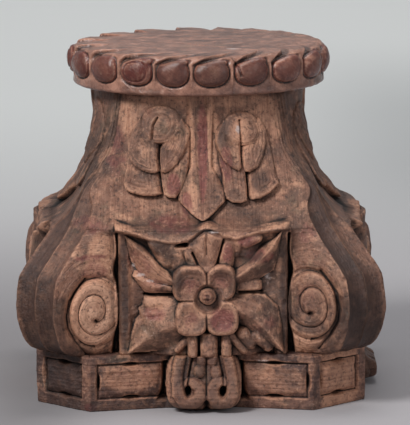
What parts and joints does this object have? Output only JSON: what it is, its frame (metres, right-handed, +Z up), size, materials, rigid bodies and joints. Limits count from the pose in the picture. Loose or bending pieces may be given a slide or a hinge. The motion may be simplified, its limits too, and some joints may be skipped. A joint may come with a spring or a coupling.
{
  "type": "carved wooden corinthian capital",
  "caption": "Carved wooden Corinthian capital standing upside down on its abacus: gadrooned necking ring, leafy bell, corner volutes and a flower panel on each face.",
  "frame": {"origin": "middle of the underside of the abacus slab, on the surface that the capital stands on", "axes": "+Z up along the capital's axis, from the abacus to the necking ring; -Y out of the front face, +X to the right of the front face"},
  "size_m": [0.42, 0.42, 0.4],
  "materials": {
    "abacus_wood": "worn dark brown hardwood with traces of old paint, satin",
    "bell_wood": "weathered tan-brown hardwood with dirt in the hollows and traces of maroon paint, satin",
    "ring_wood": "dark red-brown polished-by-wear hardwood, satin to slightly glossy"
  },
  "bodies": {
    "root": {"abacus": "abacus_wood", "bell": "bell_wood", "necking_ring": "ring_wood"}
  },
  "joints": []
}
